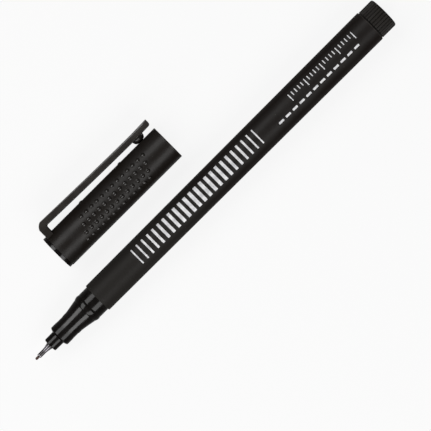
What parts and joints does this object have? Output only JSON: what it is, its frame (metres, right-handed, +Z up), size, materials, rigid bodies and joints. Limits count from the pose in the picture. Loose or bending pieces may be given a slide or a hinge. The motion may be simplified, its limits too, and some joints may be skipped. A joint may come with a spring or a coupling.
{
  "type": "permanent marker",
  "caption": "Slim round permanent marker with a steel-sleeved fibre nib, ribbed rear plug and a push-on cap with grip bumps and pocket clip, lying beside it.",
  "frame": {"origin": "on the table, under the middle of the pen and its cap, seen from above", "axes": "+X along the pen from the nib to the rear end, +Y from the pen to the cap, +Z up from the table"},
  "size_m": [0.123, 0.028, 0.0101],
  "materials": {
    "barrel_soft_black": "matt soft-touch lacquer over moulded plastic",
    "plug_satin_black": "satin moulded plastic with fine ribs",
    "gloss_black": "polished moulded plastic",
    "nib_steel": "bright drawn tube",
    "nib_fibre": "bonded fibre soaked in black ink",
    "reservoir_fibre": "loose polyester fibre soaked in ink",
    "reservoir_film": "thin clear film",
    "cap_soft_black": "matt soft-touch lacquer over moulded plastic",
    "liner_plastic": "natural moulded plastic",
    "clip_satin_black": "satin moulded plastic"
  },
  "bodies": {
    "pen": {"barrel": "barrel_soft_black", "rear_plug": "plug_satin_black", "grip_section": "gloss_black", "nib_holder": "gloss_black", "nib_sleeve": "nib_steel", "fibre_nib": "nib_fibre", "ink_reservoir": "reservoir_fibre", "reservoir_film": "reservoir_film"},
    "cap": {"cap_shell": "cap_soft_black", "cap_end_plug": "gloss_black", "inner_cap": "liner_plastic"},
    "clip": {"clip": "clip_satin_black"}
  },
  "joints": [
    {"name": "cap_slide", "type": "slide", "parent": "pen", "child": "cap", "axis": [-1, 0, 0], "range_m": [0, 0.06185]},
    {"name": "clip_flex", "type": "hinge", "parent": "cap", "child": "clip", "pos_m": [-0.03803, 0.01055, 0.00506], "axis": [0, 0, 1], "range_deg": [0, 6], "stiffness_Nm_per_rad": 0.4}
  ]
}
